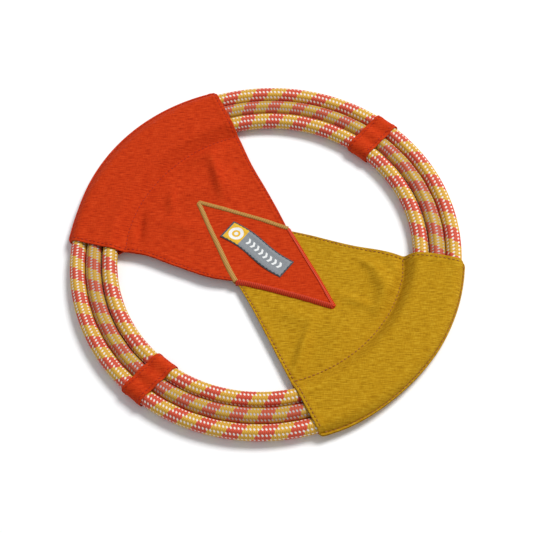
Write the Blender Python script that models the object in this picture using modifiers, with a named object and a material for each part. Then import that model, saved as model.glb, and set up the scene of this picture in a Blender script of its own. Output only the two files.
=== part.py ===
"""Soft flying ring: three concentric rope rings held by two fan-shaped cloth panels and two cloth bands.

Blender 4.5, metres, +Z up. The ring lies flat. Its origin is the centre of the ring, on the surface that
it rests on. The mustard panel covers the ropes around +X, the red panel around -X, and the two red bands
hold the ropes together at +Y and -Y. The two panels' tips cross at the centre and are sewn to each other.
Touching cloths, ropes and threads keep a gap of GAP, because they are separate solids.
"""

import math

import bmesh
import bpy

MM = 0.001

# Ropes
RING_OUTER_RADIUS = 120.0 * MM
ROPE_RADIUS = 4.8 * MM
SHEATH_WALL = 1.0 * MM
CORE_RADIUS = 3.3 * MM
ROPE_NAMES = ("outer", "middle", "inner")

# Cloth
GAP = 0.3 * MM
CLOTH = 0.6 * MM
CHANNEL_RADIUS = 85.5 * MM  # the seam that closes the rope sleeve on its inner side
FAN_CORNER_RADIUS = 122.8 * MM
FAN_CORNER_ANGLE = math.radians(34.7)
FAN_MIDDLE_RADIUS = 124.9 * MM
FAN_CORNER_ROUNDING = 3.0 * MM
WAIST_HALF_WIDTH = 23.0 * MM
TIP_REACH = 57.5 * MM  # from the ring's centre to the end of a panel's sewn tip
BAND_WIDTH = 14.6 * MM

# Threads and label
SATIN_WIDTH = 2.2 * MM
BACK_STITCH_HEIGHT = 0.7 * MM
THREAD_RADIUS = 0.3 * MM
HEM_INSET = 2.2 * MM
LABEL_LENGTH = 47.0 * MM
LABEL_WIDTH = 13.4 * MM
LABEL_THICKNESS = 0.5 * MM
LABEL_CENTRE_X = -4.5 * MM
LABEL_THREAD_INSET = 0.9 * MM

# Facets
ROPE_STEP = math.radians(7.5)  # every rope ring has its facets at multiples of this angle
ROPE_SIDES = 10
CLOTH_STEPS = 72

# Worked out from the sizes above
ROPE_PITCH = 2 * ROPE_RADIUS + GAP
ROPE_LINES = [RING_OUTER_RADIUS - ROPE_RADIUS - i * ROPE_PITCH for i in range(len(ROPE_NAMES))]
SLEEVE_RADIUS = ROPE_RADIUS + GAP  # the cloth's inner face round a rope
MIDDLE_HEIGHT = SLEEVE_RADIUS + CLOTH  # the ropes' centre above the floor
LAYER = CLOTH + GAP
WEB_LEVELS = {  # the cloths' middle heights between the sleeve and the tip, above MIDDLE_HEIGHT
    "red_top": 1.5 * LAYER,
    "red_bottom": 0.5 * LAYER,
    "mustard_top": -0.5 * LAYER,
    "mustard_bottom": -1.5 * LAYER,
}
SATIN_HEIGHT = 2 * LAYER + GAP / 2  # it stands on the other panel and reaches a little over the tip's cloths

COLOURS = {
    "rope_white_fleck": (0.80, 0.36, 0.13, 0.75),
    "rope_grey_fleck": (0.66, 0.36, 0.20, 0.75),
    "rope_core": (0.85, 0.83, 0.78, 0.9),
    "splice_wrap": (0.05, 0.05, 0.05, 0.5),
    "red_cloth": (0.55, 0.055, 0.012, 0.85),
    "mustard_cloth": (0.50, 0.29, 0.02, 0.85),
    "red_thread": (0.62, 0.06, 0.02, 0.6),
    "mustard_thread": (0.42, 0.20, 0.04, 0.6),
    "tan_thread": (0.47, 0.27, 0.09, 0.6),
    "label_weave": (0.30, 0.31, 0.32, 0.7),
    "label_thread": (0.05, 0.05, 0.06, 0.7),
}


def clear_scene():
    for obj in list(bpy.data.objects):
        bpy.data.objects.remove(obj)


def new_collection(name):
    collection = bpy.data.collections.new(name)
    bpy.context.scene.collection.children.link(collection)
    return collection


def material(name):
    """The Principled material of that name, with the colour and roughness in COLOURS."""
    made = bpy.data.materials.get(name)
    if made is None:
        red, green, blue, roughness = COLOURS[name]
        made = bpy.data.materials.new(name)
        made.use_nodes = True
        shader = made.node_tree.nodes["Principled BSDF"]
        shader.inputs["Base Color"].default_value = (red, green, blue, 1)
        shader.inputs["Roughness"].default_value = roughness
        shader.inputs["Metallic"].default_value = 0
        made.diffuse_color = (red, green, blue, 1)
    return made


def add(name, data, material_name, collection):
    obj = bpy.data.objects.new(name, data)
    if material_name:
        data.materials.append(material(material_name))
    collection.objects.link(obj)
    return obj


def edge_mesh(name, points, closed):
    """A mesh of one chain of edges, for a Screw modifier to turn."""
    mesh = bpy.data.meshes.new(name)
    count = len(points)
    edges = [(i, (i + 1) % count) for i in range(count if closed else count - 1)]
    mesh.from_pydata(points, edges, [])
    return mesh


def turn(obj, angle, steps):
    screw = obj.modifiers.new("Turn", "SCREW")
    screw.axis = "Z"
    screw.angle = angle
    screw.steps = screw.render_steps = steps
    screw.use_merge_vertices = True
    screw.merge_threshold = 0.00001
    return screw


def thicken(obj, thickness, offset):
    solidify = obj.modifiers.new("Thickness", "SOLIDIFY")
    solidify.thickness = thickness
    solidify.offset = offset
    solidify.use_even_offset = True
    return solidify


def rope_tube(name, line, start, steps, step, material_name, collection):
    """A stretch of braided sheath round a rope's core, from the angle start, counted anticlockwise."""
    circle = []
    for i in range(ROPE_SIDES):
        a = 2 * math.pi * i / ROPE_SIDES
        circle.append((line + ROPE_RADIUS * math.sin(a), 0, ROPE_RADIUS * math.cos(a)))
    obj = add(name, edge_mesh(name, circle, True), material_name, collection)
    turn(obj, steps * step, steps)
    thicken(obj, SHEATH_WALL, -1)
    obj.location.z = MIDDLE_HEIGHT
    obj.rotation_euler.z = start
    return obj


def thread_curve(name, points, radius, material_name, collection, closed=False, resolution=1):
    """A round cord through points, with filled ends."""
    curve = bpy.data.curves.new(name, "CURVE")
    curve.dimensions = "3D"
    curve.bevel_depth = radius
    curve.bevel_resolution = resolution
    curve.use_fill_caps = not closed
    spline = curve.splines.new("POLY")
    spline.points.add(len(points) - 1)
    for point, place in zip(spline.points, points):
        point.co = (*place, 1)
    spline.use_cyclic_u = closed
    return add(name, curve, material_name, collection)


def rope_ring(index, joint_angle, sheath_material, collection):
    """One ring of rope: its core butted end to end, its sheath, and the wrap that covers the joint."""
    name = ROPE_NAMES[index]
    line = ROPE_LINES[index]
    sheath_steps = round(2 * math.pi / ROPE_STEP) - 2
    sheath = f"{name}_rope_sheath"
    rope_tube(sheath, line, joint_angle + ROPE_STEP, sheath_steps, ROPE_STEP, sheath_material, collection)

    splice_step = ROPE_STEP - GAP / line
    rope_tube(f"{name}_rope_splice", line, joint_angle - splice_step, 2, splice_step, "splice_wrap", collection)

    butt_angle = GAP / line
    count = round(2 * math.pi / ROPE_STEP)
    arc = []
    for i in range(count + 1):
        a = joint_angle + butt_angle + (2 * math.pi - 2 * butt_angle) * i / count
        arc.append((line * math.cos(a), line * math.sin(a), MIDDLE_HEIGHT))
    thread_curve(f"{name}_rope_core", arc, CORE_RADIUS, "rope_core", collection, resolution=2)


def sleeve_profile(web):
    """The inner face of a top cloth as (radius, height above MIDDLE_HEIGHT), from the axis to the outer fin.

    It is level over the web, rises from the channel seam to the inner rope, spans the three ropes and comes
    down round the outer one to the fin, where the two cloths of a panel are sewn together.
    """
    inner_line, outer_line = ROPE_LINES[-1], ROPE_LINES[0]
    points = [(0.0, web), (CHANNEL_RADIUS - 1.0 * MM, web), (CHANNEL_RADIUS + 1.2 * MM, web + 0.5 * MM)]
    for degrees in (145, 118, 90):  # round the inner rope's upper inner quarter
        a = math.radians(degrees)
        points.append((inner_line + SLEEVE_RADIUS * math.cos(a), SLEEVE_RADIUS * math.sin(a)))
    for degrees in (90, 62, 35, 14):  # round the outer rope's upper outer quarter
        a = math.radians(degrees)
        points.append((outer_line + SLEEVE_RADIUS * math.cos(a), SLEEVE_RADIUS * math.sin(a)))
    points.append((outer_line + SLEEVE_RADIUS + 0.7 * MM, GAP / 2))
    points.append((FAN_MIDDLE_RADIUS + 2 * MM, GAP / 2))
    return points


def thread_line(profile):
    """The line that a thread's centre follows on a cloth: the inner face's profile, moved out square to itself."""
    away = CLOTH + GAP + THREAD_RADIUS
    slopes = [math.atan2(z1 - z0, r1 - r0) for (r0, z0), (r1, z1) in zip(profile, profile[1:])]
    moved = []
    for i, (r, z) in enumerate(profile):
        before, after = slopes[max(i - 1, 0)], slopes[min(i, len(slopes) - 1)]
        mean, turn_by = (before + after) / 2, (after - before) / 2
        moved.append((r - away * math.sin(mean) / math.cos(turn_by), z + away * math.cos(mean) / math.cos(turn_by)))
    return moved


def height_on(profile, radius):
    """The height of a profile at a radius."""
    for (r0, z0), (r1, z1) in zip(profile, profile[1:]):
        if r0 <= radius <= r1:
            return z0 + (z1 - z0) * (radius - r0) / (r1 - r0)
    return profile[-1][1]


def fan_arc():
    """(centre on X, radius, half angle) of a panel's outer edge, through its two corners and its middle."""
    corner_x = FAN_CORNER_RADIUS * math.cos(FAN_CORNER_ANGLE)
    corner_y = FAN_CORNER_RADIUS * math.sin(FAN_CORNER_ANGLE)
    centre = (corner_x**2 + corner_y**2 - FAN_MIDDLE_RADIUS**2) / (2 * (corner_x - FAN_MIDDLE_RADIUS))
    return centre, FAN_MIDDLE_RADIUS - centre, math.atan2(corner_y, corner_x - centre)


def fan_outline(tip_inset):
    """The plan of the +X panel, anticlockwise from its tip on -X. tip_inset keeps the cloth inside the satin."""
    centre, radius, half = fan_arc()
    slope = WAIST_HALF_WIDTH / TIP_REACH
    apex = TIP_REACH - tip_inset * math.sqrt(1 + 1 / slope**2)
    waist_x = -0.4 * MM  # the tip's edges start just past the waist, where the satin ends
    waist_y = slope * (apex + waist_x)
    arc_steps = 14
    rounding = FAN_CORNER_ROUNDING / radius
    arc = []
    for i in range(arc_steps + 1):
        a = -half + rounding + (2 * half - 2 * rounding) * i / arc_steps
        arc.append((centre + radius * math.cos(a), radius * math.sin(a)))
    corner = (centre + radius * math.cos(half), radius * math.sin(half))
    length = math.hypot(corner[0], corner[1] - WAIST_HALF_WIDTH)
    back = FAN_CORNER_ROUNDING / length
    before = (corner[0] * (1 - back), corner[1] + (WAIST_HALF_WIDTH - corner[1]) * back)
    return [
        (-apex, 0.0),
        (waist_x, -waist_y),
        (0.0, -WAIST_HALF_WIDTH),
        (before[0], -before[1]),
        *arc,
        before,
        (0.0, WAIST_HALF_WIDTH),
        (waist_x, waist_y),
    ]


def prism(name, outline, low, high, material_name, collection):
    """A flat outline, anticlockwise from above, extruded from the height low to the height high."""
    mesh = bpy.data.meshes.new(name)
    made = bmesh.new()
    face = made.faces.new([made.verts.new((x, y, low)) for x, y in outline])
    face.normal_flip()
    extruded = bmesh.ops.extrude_face_region(made, geom=[face], use_keep_orig=True)
    lifted = [v for v in extruded["geom"] if isinstance(v, bmesh.types.BMVert)]
    bmesh.ops.translate(made, vec=(0, 0, high - low), verts=lifted)
    bmesh.ops.recalc_face_normals(made, faces=made.faces)
    made.to_mesh(mesh)
    made.free()
    return add(name, mesh, material_name, collection)


def panel_cloth(colour, side, cutter, collection):
    """One of a panel's two cloths: a turned sheet, cut to the fan's outline."""
    top = side == "top"
    web = WEB_LEVELS[f"{colour}_{side}"] * (1 if top else -1) - CLOTH / 2
    profile = sleeve_profile(web)
    direction = 1 if top else -1
    points = [(r, 0, direction * z) for r, z in profile]
    name = f"{colour}_panel_{side}"
    obj = add(name, edge_mesh(name, points, False), f"{colour}_cloth", collection)
    turn(obj, 2 * math.pi, CLOTH_STEPS).use_normal_flip = not top
    thicken(obj, CLOTH, 1)
    cut = obj.modifiers.new("Outline", "BOOLEAN")
    cut.operation = "INTERSECT"
    cut.solver = "EXACT"
    cut.object = cutter
    obj.location.z = MIDDLE_HEIGHT
    return obj


def stadium(low, high, radius, steps):
    """A closed outline of two half circles centred at low and high on the first axis."""
    points = []
    for centre, start in ((high, -math.pi / 2), (low, math.pi / 2)):
        for i in range(steps + 1):
            a = start + math.pi * i / steps
            points.append((centre + radius * math.cos(a), radius * math.sin(a)))
    return points


def rope_band(name, turned, collection):
    """A strip of cloth sewn round the three ropes. turned is the angle of its place on the ring."""
    bow = 0.3 * MM  # the ropes bend inwards by this much from the band's middle to its edges
    low, high = ROPE_LINES[-1] - bow, ROPE_LINES[0]
    curve = bpy.data.curves.new(name, "CURVE")
    curve.dimensions = "2D"
    curve.fill_mode = "BOTH"
    curve.extrude = BAND_WIDTH / 2
    for radius in (SLEEVE_RADIUS + CLOTH, SLEEVE_RADIUS):
        outline = stadium(low, high, radius, 8)
        spline = curve.splines.new("POLY")
        spline.points.add(len(outline) - 1)
        for point, (x, y) in zip(spline.points, outline):
            point.co = (x, y, 0, 1)
        spline.use_cyclic_u = True
    obj = add(name, curve, "red_cloth", collection)
    obj.location.z = MIDDLE_HEIGHT
    obj.rotation_euler = (math.pi / 2, 0, turned)
    return obj


def band_seam(name, turned, offset, collection):
    """The row of stitches on top of a band, offset along the ring from the band's middle."""
    height = MIDDLE_HEIGHT + SLEEVE_RADIUS + CLOTH + GAP + THREAD_RADIUS
    points = []
    for radius in (ROPE_LINES[-1], ROPE_LINES[0]):
        x = radius * math.cos(turned) - offset * math.sin(turned)
        y = radius * math.sin(turned) + offset * math.cos(turned)
        points.append((x, y, height))
    thread_curve(name, points, THREAD_RADIUS, "red_thread", collection)


def top_thread_line(colour):
    """The line of a thread's centre over a panel's top cloth, as (radius, height above MIDDLE_HEIGHT)."""
    return thread_line(sleeve_profile(WEB_LEVELS[f"{colour}_top"] - CLOTH / 2))


def channel_seam(colour, facing, collection):
    """The curved row that closes the sleeve beside the inner rope. facing is the panel's direction."""
    half = FAN_CORNER_ANGLE
    steps = 14
    height = MIDDLE_HEIGHT + height_on(top_thread_line(colour), CHANNEL_RADIUS)
    points = []
    for i in range(steps + 1):
        a = facing - half + 2 * half * i / steps
        points.append((CHANNEL_RADIUS * math.cos(a), CHANNEL_RADIUS * math.sin(a), height))
    thread_curve(f"{colour}_channel_seam", points, THREAD_RADIUS, f"{colour}_thread", collection)


def hem_seam(name, colour, facing, side, collection):
    """The row along one straight edge of a panel, from near the waist to the far side of the ropes."""
    corner_x = FAN_CORNER_RADIUS * math.cos(FAN_CORNER_ANGLE)
    corner_y = FAN_CORNER_RADIUS * math.sin(FAN_CORNER_ANGLE)
    length = math.hypot(corner_x, corner_y - WAIST_HALF_WIDTH)
    along = (corner_x / length, (corner_y - WAIST_HALF_WIDTH) / length)
    start_x, start_y = HEM_INSET * along[1], WAIST_HALF_WIDTH - HEM_INSET * along[0]

    def place(distance):
        return start_x + distance * along[0], start_y + distance * along[1]

    def distance_at(radius):
        """How far along the row it crosses a circle about the ring's centre."""
        dot = start_x * along[0] + start_y * along[1]
        return -dot + math.sqrt(dot**2 + radius**2 - start_x**2 - start_y**2)

    line = top_thread_line(colour)
    first = 6 * MM
    past_the_side = 3  # the row ends on the outer rope's side, short of the fin
    stops = [(first, line[0][1]), *((distance_at(r), z) for r, z in line[1:-past_the_side])]
    points = []
    for distance, z in stops:
        x, y = place(distance)
        y *= side
        turned_x = x * math.cos(facing) - y * math.sin(facing)
        turned_y = x * math.sin(facing) + y * math.cos(facing)
        points.append((turned_x, turned_y, MIDDLE_HEIGHT + z))
    thread_curve(name, points, THREAD_RADIUS, f"{colour}_thread", collection)


def tip_stitch(name, facing, low, high, material_name, collection):
    """A V of satin stitches along a tip's two edges. facing is the direction in which its tip points."""
    slope = WAIST_HALF_WIDTH / TIP_REACH
    inner_apex = TIP_REACH - SATIN_WIDTH * math.sqrt(1 + 1 / slope**2)
    end = 1.2 * MM  # how far from the waist's line the V ends
    nose = 1.6 * MM  # the point is cut off square by this much
    outline = [
        (end, -slope * (TIP_REACH - end)),
        (TIP_REACH - nose, -slope * nose),
        (TIP_REACH - nose, slope * nose),
        (end, slope * (TIP_REACH - end)),
        (end, slope * (inner_apex - end)),
        (inner_apex, 0.0),
        (end, -slope * (inner_apex - end)),
    ]
    obj = prism(name, outline, low, high, material_name, collection)
    obj.location.z = MIDDLE_HEIGHT
    obj.rotation_euler.z = facing
    bevel = obj.modifiers.new("Rounding", "BEVEL")
    bevel.width = 0.25 * MM
    bevel.segments = 1
    bevel.angle_limit = math.radians(60)
    return obj


def label(collection):
    """The woven label on the red tip, and the thread that holds it round its edge."""
    low = WEB_LEVELS["red_top"] + CLOTH / 2 + GAP
    half_length, half_width = LABEL_LENGTH / 2, LABEL_WIDTH / 2

    def rectangle(inset):
        x0, x1 = LABEL_CENTRE_X - half_length + inset, LABEL_CENTRE_X + half_length - inset
        y0, y1 = -half_width + inset, half_width - inset
        return [(x0, y0), (x1, y0), (x1, y1), (x0, y1)]

    patch = prism("woven_label", rectangle(0), low, low + LABEL_THICKNESS, "label_weave", collection)
    patch.location.z = MIDDLE_HEIGHT
    height = MIDDLE_HEIGHT + low + LABEL_THICKNESS + GAP + THREAD_RADIUS
    loop = [(x, y, height) for x, y in rectangle(LABEL_THREAD_INSET)]
    thread_curve("label_seam", loop, THREAD_RADIUS, "label_thread", collection, closed=True)


def main():
    clear_scene()
    parts = new_collection("flying_ring")
    cutters = new_collection("cutters")

    rope_ring(0, 0.0, "rope_white_fleck", parts)
    rope_ring(1, math.pi, "rope_grey_fleck", parts)
    rope_ring(2, 0.0, "rope_white_fleck", parts)

    for colour, facing in (("mustard", 0.0), ("red", math.pi)):
        reach = 2 * MIDDLE_HEIGHT
        cutter = prism(f"{colour}_outline", fan_outline(SATIN_WIDTH + GAP), -reach, reach, None, cutters)
        cutter.rotation_euler.z = facing
        cutter.location.z = MIDDLE_HEIGHT
        cutter.hide_render = True
        cutter.display_type = "WIRE"
        panel_cloth(colour, "top", cutter, parts)
        panel_cloth(colour, "bottom", cutter, parts)
        channel_seam(colour, facing, parts)
        hem_seam(f"{colour}_left_hem_seam", colour, facing, 1, parts)
        hem_seam(f"{colour}_right_hem_seam", colour, facing, -1, parts)

    for name, turned in (("rear_band", math.pi / 2), ("front_band", -math.pi / 2)):
        rope_band(name, turned, parts)
        for side, offset in (("left", BAND_WIDTH / 2 - HEM_INSET), ("right", HEM_INSET - BAND_WIDTH / 2)):
            band_seam(f"{name}_{side}_seam", turned, offset, parts)

    on_mustard = WEB_LEVELS["mustard_top"] + CLOTH / 2 + GAP
    over_red = WEB_LEVELS["red_top"] + CLOTH / 2 + GAP
    tip_stitch("red_tip_satin", 0.0, on_mustard, on_mustard + SATIN_HEIGHT, "red_thread", parts)
    tip_stitch("red_tip_back_stitch", 0.0, -over_red - BACK_STITCH_HEIGHT, -over_red, "red_thread", parts)
    tip_stitch("mustard_tip_satin", math.pi, -on_mustard - SATIN_HEIGHT, -on_mustard, "tan_thread", parts)
    tip_stitch("mustard_tip_back_stitch", math.pi, over_red, over_red + BACK_STITCH_HEIGHT, "tan_thread", parts)
    label(parts)


main()
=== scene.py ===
"""The soft flying ring's looks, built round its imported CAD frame.

Metres, +Z up, as in the frame: the mustard panel is on +X, the red panel on -X, and the bands are at +Y and
-Y. The CAD solids that stand for rope, cloth and thread are replaced here by braided ropes, sewn cloths and
single stitches. Every piece rides on the one body, root.
"""

import math

import bmesh
import bpy
import numpy as np
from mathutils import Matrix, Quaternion, Vector, noise
from mathutils.bvhtree import BVHTree


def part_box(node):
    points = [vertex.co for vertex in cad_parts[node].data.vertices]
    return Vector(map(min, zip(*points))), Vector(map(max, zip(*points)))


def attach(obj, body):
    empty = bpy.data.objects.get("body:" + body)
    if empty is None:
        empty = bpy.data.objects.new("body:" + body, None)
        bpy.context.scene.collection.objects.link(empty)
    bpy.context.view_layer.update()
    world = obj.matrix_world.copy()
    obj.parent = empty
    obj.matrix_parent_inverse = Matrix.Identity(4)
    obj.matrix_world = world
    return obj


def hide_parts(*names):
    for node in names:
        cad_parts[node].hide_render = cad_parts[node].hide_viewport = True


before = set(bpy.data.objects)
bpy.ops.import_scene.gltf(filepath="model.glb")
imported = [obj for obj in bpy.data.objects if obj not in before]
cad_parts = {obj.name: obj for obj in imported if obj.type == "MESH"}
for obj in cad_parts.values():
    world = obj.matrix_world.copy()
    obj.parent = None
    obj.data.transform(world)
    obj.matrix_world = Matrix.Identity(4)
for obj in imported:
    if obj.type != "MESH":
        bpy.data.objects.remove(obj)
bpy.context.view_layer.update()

MM = 0.001
join = np.concatenate

# Ropes, measured on the frame's sheaths, whose facets have a corner 72 degrees from the top
SHEATH_LOW, SHEATH_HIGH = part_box("outer_rope_sheath")
ROPE_RADIUS = (SHEATH_HIGH.z - SHEATH_LOW.z) / 2
MIDDLE_HEIGHT = (SHEATH_HIGH.z + SHEATH_LOW.z) / 2
FACET_REACH = math.sin(math.radians(72))
ROPE_NAMES = ("outer", "middle", "inner")
ROPE_LINES = {name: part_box(f"{name}_rope_sheath")[1].y - ROPE_RADIUS * FACET_REACH for name in ROPE_NAMES}
SHEATH_WALL = 1.0 * MM
SPLICE_HALF_ANGLE = math.radians(7.5)
SPLICE_PLACES = {"outer": 0.0, "middle": math.pi, "inner": 0.0}

# The braid: eight carriers each way. A lay is the length in which one of them goes once round the rope. It
# differs a little from one quarter of a ring to the next, because the rope was pulled through the sleeves.
CARRIERS = 8
LAYS = {
    "outer": (19.3 * MM, 19.6 * MM, 15.5 * MM, 18.5 * MM),
    "middle": (15.9 * MM, 15.9 * MM, 15.2 * MM, 16.3 * MM),
    "inner": (18.5 * MM, 18.1 * MM, 18.4 * MM, 18.5 * MM),
}
LAY_PHASES = {  # in lays, for the same quarters. Cloth hides where one phase turns into the next.
    "outer": (-0.29, -0.28, -0.29, -0.37),
    "middle": (0.135, -0.13, 0.20, -0.085),
    "inner": (0.13, -0.09, -0.10, -0.27),
}
PHASE_TURN = 0.042  # half the stretch in which it does, in quarters
TWISTS = {"outer": -0.05, "middle": 0.045, "inner": -0.012}  # the pattern's turn round the rope, in turns
ROPE_ROUND = 80  # points round a rope
ROPE_STEP = 0.46 * MM
HIDDEN_ROPE_STEP = 2.5 * MM
HIDDEN_RINGS = 73  # on a sheath's inner face
BRAID_MEAN = ROPE_RADIUS - 0.2 * MM  # from a rope's line to the braid's surface, without its relief
YARN_LIFT = 0.16 * MM  # how far a carrier's yarns rise where they cross over, and sink where they cross under
YARN_RIB = 0.17 * MM
FLECK_LIFT = 0.02 * MM
FLECK_CURVE = 3.6 * MM
COLOUR_SLANT, FLECK_SLANT = 0.45, 0.2  # how much of its slant a carrier keeps while it crosses over

# Cloth
CLOTH = 0.6 * MM
SLEEVE_MIDDLE = ROPE_RADIUS + 0.6 * MM  # from a rope's line to the middle of the cloth round it
CHANNEL_RADIUS = 85.5 * MM
LAYER = 0.9 * MM
WEB_LEVELS = {"red_top": 1.5, "red_bottom": 0.5, "mustard_top": -0.5, "mustard_bottom": -1.5}  # in layers
WAIST_HALF_WIDTH = 23.0 * MM
FAN_CORNER_RADIUS = 122.8 * MM
FAN_CORNER_ANGLE = math.radians(34.7)
FAN_MIDDLE_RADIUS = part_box("mustard_panel_top")[1].x
TIP_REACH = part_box("red_tip_satin")[1].x + 1.6 * MM  # to the sharp point, which the frame's satin leaves off
SATIN_WIDTH = 2.2 * MM
TIP_BLUNTNESS = 1.2 * MM  # how much is cut off the cloth at its own sharp point, TIP_APEX
BEAD_INSET = 0.65 * MM  # from the V's outline to the middle of its satin
BEAD_REACH = TIP_REACH + 1.5 * MM  # its outline's sharp point, past the frame's
SATIN_STEP, SATIN_PITCH, SATIN_ROUND, SATIN_RIDGE = 0.14 * MM, 1.25 * MM, 17, 0.2 * MM
SATIN_SLANT = 0.8  # how far a thread leads on from one side of the V to the other, in widths
PANEL_FACINGS = {"mustard": 0.0, "red": math.pi}

# A +X panel's outline: its corner, the arc of its outer edge, the direction of its straight edge on the +Y
# side, and the slope of its tip with the point at which the cloth ends under the satin
CORNER_X, CORNER_Y = (FAN_CORNER_RADIUS * turn(FAN_CORNER_ANGLE) for turn in (math.cos, math.sin))
ARC_CENTRE = (FAN_CORNER_RADIUS**2 - FAN_MIDDLE_RADIUS**2) / (2 * (CORNER_X - FAN_MIDDLE_RADIUS))
ARC_RADIUS = FAN_MIDDLE_RADIUS - ARC_CENTRE
ARC_HALF_ANGLE = math.atan2(CORNER_Y, CORNER_X - ARC_CENTRE)
EDGE_LENGTH = math.hypot(CORNER_X, CORNER_Y - WAIST_HALF_WIDTH)
ALONG_X, ALONG_Y = CORNER_X / EDGE_LENGTH, (CORNER_Y - WAIST_HALF_WIDTH) / EDGE_LENGTH
TIP_SLOPE = WAIST_HALF_WIDTH / TIP_REACH
TIP_APEX = TIP_REACH - SATIN_WIDTH / 2 * math.hypot(1, 1 / TIP_SLOPE)

# How the cloths are shaped
CORNER_ROUNDINGS = {"mustard": (3.2 * MM, 2.0 * MM), "red": (1.6 * MM, 1.6 * MM)}  # a panel's left and right
CLOTH_STEP = 1.0 * MM
PANEL_COLUMNS = 140
RIM_STEPS = np.array([0.0, 0.08, 0.22, 0.45, 0.9]) * MM  # distances from an edge at which its rim has points
SLEEVE_SAG = 0.25 * MM
ROLL_INSET, ROLL_RISE = 0.7 * MM, 0.35 * MM  # the fin's rolled edge
FIN_SEAM_INSETS = {"mustard": 1.8 * MM, "red": 1.4 * MM}
FIN_GROOVES = {"mustard": 0.5 * MM, "red": 0.2 * MM}
SEAM_SINKS = {"mustard": 1.7 * MM, "red": 0.8 * MM}  # how deep the channel's seam lies at its +Y end
LEAVING_ANGLE = 46  # degrees above the side at which a cloth leaves the outer rope
TUCK_ANGLE = 134  # and from there on round to where it meets the inner rope, tight from the channel's seam
BAND_BOW, BAND_SAG, BAND_ROUND = 0.3 * MM, 1.0 * MM, 150
BAND_MIDDLE = ROPE_RADIUS + 0.4 * MM  # from a rope's line to the middle of a band
# How far the bands have slipped sideways, at their inner and outer ends
BAND_SLIPS = {"rear_band": (-1.6 * MM, -2.7 * MM), "front_band": (1.8 * MM, -0.1 * MM)}
HEM_WIDTH = 5.0 * MM
HEM_INSET, HEM_GROOVE = 2.0 * MM, 0.28 * MM  # where a hem's stitches are, and how deep they lie
GRAIN_ANGLE = math.radians(39)  # the weft's direction on every cloth
BAND_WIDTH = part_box("rear_band")[1].x * 2
LABEL_LENGTH, LABEL_WIDTH, LABEL_THICKNESS = 47.0 * MM, 13.4 * MM, 0.5 * MM
LABEL_SWAY = 0.95 * MM
LABEL_CENTRE_X = sum(corner.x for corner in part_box("woven_label")) / 2

# Stitches
STITCH_PITCH = 2.6 * MM
STITCH_LENGTH = 2.0 * MM
THREAD_RADIUS = 0.24 * MM
PANEL_THREAD_RADII = {"mustard": 0.32 * MM, "red": 0.24 * MM}

# Camera, from the photograph's perspective
CAMERA_AZIMUTH, CAMERA_ELEVATION, CAMERA_ROLL = (math.radians(x) for x in (47.6, 63.46, -8.47))
CAMERA_DISTANCE = 759.2 * MM
CAMERA_TARGET = Vector((5.06 * MM, -4.34 * MM, 0))
CAMERA_LENS, CAMERA_SENSOR = 83.53, 36.0

# Light
KEY_PLACE, KEY_SIZE, KEY_POWER = (0.24, 1.52, 2.12), 1.0, 62.0
SURROUND_STRENGTH = 0.445
SURROUND_COLOUR = (0.93, 0.97, 1.0, 1.0)


# ------------------------------ node helpers


def srgb(red, green, blue):
    """A linear colour from the usual 0 to 255 values."""

    def linear(value):
        value /= 255
        return value / 12.92 if value <= 0.04045 else ((value + 0.055) / 1.055) ** 2.4

    return (linear(red), linear(green), linear(blue), 1.0)


class Nodes:
    """One material's node tree, built with a call for each node. An input is a socket or a plain value."""

    def __init__(self, name, roughness, **fixed):
        self.material = bpy.data.materials.new(name)
        self.material.use_nodes = True
        self.tree = self.material.node_tree
        self.shader = self.tree.nodes["Principled BSDF"]
        self.set(self.shader.inputs["Roughness"], roughness)
        for socket, value in fixed.items():
            self.set(self.shader.inputs[socket.replace("_", " ")], value)

    def set(self, socket, value):
        if isinstance(value, bpy.types.NodeSocket):
            self.tree.links.new(value, socket)
        else:
            socket.default_value = value

    def new(self, kind, inputs, output=0, **settings):
        """One output of a new node with those settings and inputs."""
        node = self.tree.nodes.new("ShaderNode" + kind)
        for name, value in settings.items():
            setattr(node, name, value)
        for socket, value in inputs.items():
            self.set(node.inputs[socket], value)
        return node.outputs[output]

    def __getattr__(self, operation):
        """n.multiply(a, b), n.sine(a) and the like are Math nodes."""
        return lambda *values: self.new("Math", dict(enumerate(values)), operation=operation.upper())

    def uv(self):
        """The two parts of the piece's own UV map."""
        parts = self.new("SeparateXYZ", {0: self.new("UVMap", {}, uv_map="Flat")}).node.outputs
        return parts[0], parts[1]

    def place(self):
        """The point's place in the frame."""
        return self.new("TexCoord", {}, "Object")

    def vector(self, x, y, z=0.0):
        return self.new("CombineXYZ", {0: x, 1: y, 2: z})

    def noise(self, vector, scale, detail=2.0):
        return self.new("TexNoise", {"Vector": vector, "Scale": scale, "Detail": detail}, "Fac")

    def remap(self, value, low, high, new_low=0.0, new_high=1.0):
        return self.new("MapRange", dict(enumerate((value, low, high, new_low, new_high))))

    def mix(self, share, first, second, blend="MIX"):
        return self.new("Mix", {0: share, 6: first, 7: second}, 2, data_type="RGBA", blend_type=blend)

    def grey(self, value):
        """A grey colour of that brightness, for multiplying with."""
        return self.vector(value, value, value)

    def bump(self, height, distance, strength, **under):
        return self.new("Bump", {"Strength": strength, "Distance": distance, "Height": height, **under})

    def finish(self, colour, normal=None):
        self.set(self.shader.inputs["Base Color"], colour)
        if normal is not None:
            self.set(self.shader.inputs["Normal"], normal)
        return self.material


# ------------------------------ materials


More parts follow.
